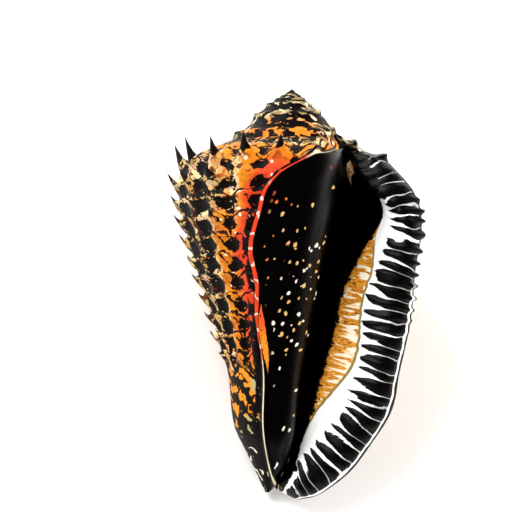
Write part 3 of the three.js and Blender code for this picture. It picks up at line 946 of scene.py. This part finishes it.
# The black of the hollow is painted shade.
shell_colour = coats(
    outside, ("#020101", "hollow"), (leaf_colour, "leaf"), ("#f3efe4", "canal_stroke"),
    (lip_colour, "wall_part"),
)
print("nodes after the last marks:", len(paint.nodes))

# %% [markdown]
# ## Gloss and fine relief
# The outside was laid down by the mantle's edge and is dull, with a fine grain. The callus and the lip
# were wiped smooth and mirror the lamp softly. Aragonite bends light by about 1.6. Its gloss is held low,
# to match the flat blacks of the picture. The grain is drawn coarser than the real one, so that it shows.

# %% Surface of the aragonite
ARAGONITE_IOR = 1.6
LOW_GLOSS = 0.11
GRAIN_STRENGTH = 0.35
GRAIN_DEPTH = 0.4
reckon(
    paint, look,
    polished="max(callus_part, 0.5 * on_lip * (place < 7.1))",
    roughness="0.58 - 0.26 * polished + 0.1 * (fine - 0.5)",
    grain_height="(1 - polished) * (fine + 0.5 * scale_part)",
)
grain_bump = add_node(paint, "ShaderNodeBump", {
    "Strength": GRAIN_STRENGTH, "Distance": GRAIN_DEPTH * MM, "Height": look["grain_height"],
})
surface = add_node(paint, "ShaderNodeBsdfPrincipled", {
    "Base Color": shell_colour, "Roughness": look["roughness"], "Normal": grain_bump.outputs[0],
    "IOR": ARAGONITE_IOR, "Specular IOR Level": LOW_GLOSS,
})
add_node(paint, "ShaderNodeOutputMaterial", {0: surface.outputs[0]})
print("finish tree:", len(paint.nodes), "nodes")

# %% [markdown]
# ## From net to finished piece
# The bare net becomes the shell when the sculpture tree runs on it as a modifier. The modifier's sizes are
# set by each socket's identifier before the first evaluation, and the result is turned into a plain mesh,
# because the export keeps meshes and drops instances.

# %% Grow the sculpture and make it a plain mesh
growth_modifier = shell.modifiers.new("sculpture", "NODES")
growth_modifier.node_group = tree
for name, size in RELIEF_SIZES.items():
    growth_modifier[size_sockets[name].identifier] = size
growth_modifier[finish_socket.identifier] = finish
evaluated = shell.evaluated_get(bpy.context.evaluated_depsgraph_get())
plain = bpy.data.meshes.new_from_object(evaluated)
shell.modifiers.remove(growth_modifier)
shell.data = plain
print("sculpture grown on", len(plain.vertices), "points")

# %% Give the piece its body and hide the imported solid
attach(shell, "root")
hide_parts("shell")
triangles = sum(len(face.vertices) - 2 for face in shell.data.polygons)
print("finished shell:", triangles, "triangles, materials", [m.name for m in shell.data.materials])

# %% [markdown]
# ## Floor
# Matt white paper, pressed smooth, with no gloss to speak of. It runs out of the picture on all sides, so
# that no edge shows, and it is a stage, not a piece of the object.

# %% A pale floor
FLOOR_SIDE = 6.0
PAPER_ROUGHNESS = 0.9
PAPER_GLOSS = 0.1
half = FLOOR_SIDE / 2
floor_corners = [(-half, -half, 0), (half, -half, 0), (half, half, 0), (-half, half, 0)]
floor_mesh = bpy.data.meshes.new("floor")
floor_mesh.from_pydata(floor_corners, [], [(0, 1, 2, 3)])
floor = bpy.data.objects.new("floor", floor_mesh)
bpy.context.scene.collection.objects.link(floor)
floor_finish = bpy.data.materials.new("matt_paper_floor")
floor_finish.use_nodes = True
floor_shader = floor_finish.node_tree.nodes["Principled BSDF"]
floor_shader.inputs["Base Color"].default_value = linear("#f4f2ee")
floor_shader.inputs["Roughness"].default_value = PAPER_ROUGHNESS
floor_shader.inputs["Specular IOR Level"].default_value = PAPER_GLOSS
floor_mesh.materials.append(floor_finish)
print("floor, m wide:", FLOOR_SIDE)

# %% [markdown]
# ## Light
# One broad lamp from the upper left, a weaker one from the right and a pale room, darker overhead, give
# soft shadows. Only the first lamp is mirrored in the glaze: a bright room mirrored there would turn the
# black callus grey.

# %% Two soft lamps
LOOK_AT = Vector((0, 0, 0.03))


def lamp(name, place, side, power, mirrored):
    """A square soft lamp that looks at the middle of the shell; polished surfaces may mirror it or not."""
    data = bpy.data.lights.new(name, "AREA")
    data.size = side
    data.energy = power
    lamp_object = bpy.data.objects.new(name, data)
    bpy.context.scene.collection.objects.link(lamp_object)
    lamp_object.location = place
    lamp_object.visible_glossy = mirrored
    lamp_object.rotation_euler = (LOOK_AT - Vector(place)).to_track_quat("-Z", "Y").to_euler()


lamp("key_lamp", place=(-0.55, 0.4, 0.7), side=0.6, power=11, mirrored=True)
lamp("fill_lamp", place=(0.75, 0.1, 0.5), side=0.7, power=9, mirrored=False)
print("lamps:", [light.name for light in bpy.data.lights])

# %% A pale room
HORIZON_LIGHT = (1.35, 1.35, 1.35, 1)
OVERHEAD_LIGHT = (0.15, 0.15, 0.15, 1)
world = bpy.data.worlds.new("soft_room")
bpy.context.scene.world = world
world.cycles_visibility.glossy = False
world.use_nodes = True
sky = world.node_tree
outwards = add_node(sky, "ShaderNodeTexCoord").outputs["Generated"]
room = {"up": add_node(sky, "ShaderNodeSeparateXYZ", {0: outwards}).outputs[2]}
reckon(sky, room, overhead="smooth(up, 0.4, 0.9)")
sky_colour = add_node(sky, "ShaderNodeMix", {
    0: room["overhead"], 6: HORIZON_LIGHT, 7: OVERHEAD_LIGHT,
}, data_type="RGBA")
sky.links.new(sky_colour.outputs[2], sky.nodes["Background"].inputs["Color"])
bpy.context.scene.view_settings.view_transform = "Standard"
print("room nodes:", len(sky.nodes))

# %% [markdown]
# ## Camera
# The picture looks straight at the opening. The shell lies on its back, so the camera looks down on it.
# The distance and the aim come from the picture's scale: so many millimetres of shell to one pixel.

# %% Camera
MM_PER_PIXEL = 0.2927
FRAME_PIXELS = 512
APEX_PIXEL = (292, 89)
AXIS_LEAN = math.radians(3.14)
LENS = 200.0
right = laid @ Vector((math.cos(AXIS_LEAN), 0, math.sin(AXIS_LEAN)))
up = laid @ Vector((-math.sin(AXIS_LEAN), 0, math.cos(AXIS_LEAN)))
back = right.cross(up)
camera_data = bpy.data.cameras.new("camera")
camera_data.lens = LENS
camera = bpy.data.objects.new("camera", camera_data)
bpy.context.scene.collection.objects.link(camera)
bpy.context.scene.camera = camera
middle = FRAME_PIXELS / 2
pixel = MM_PER_PIXEL * MM
aim = apex + right * (middle - APEX_PIXEL[0]) * pixel - up * (middle - APEX_PIXEL[1]) * pixel
distance = FRAME_PIXELS * pixel * LENS / camera_data.sensor_width
facing = Matrix((right, up, back)).transposed().to_4x4()
camera.matrix_world = Matrix.Translation(aim + back * distance) @ facing
print("camera distance, m:", round(distance, 3))
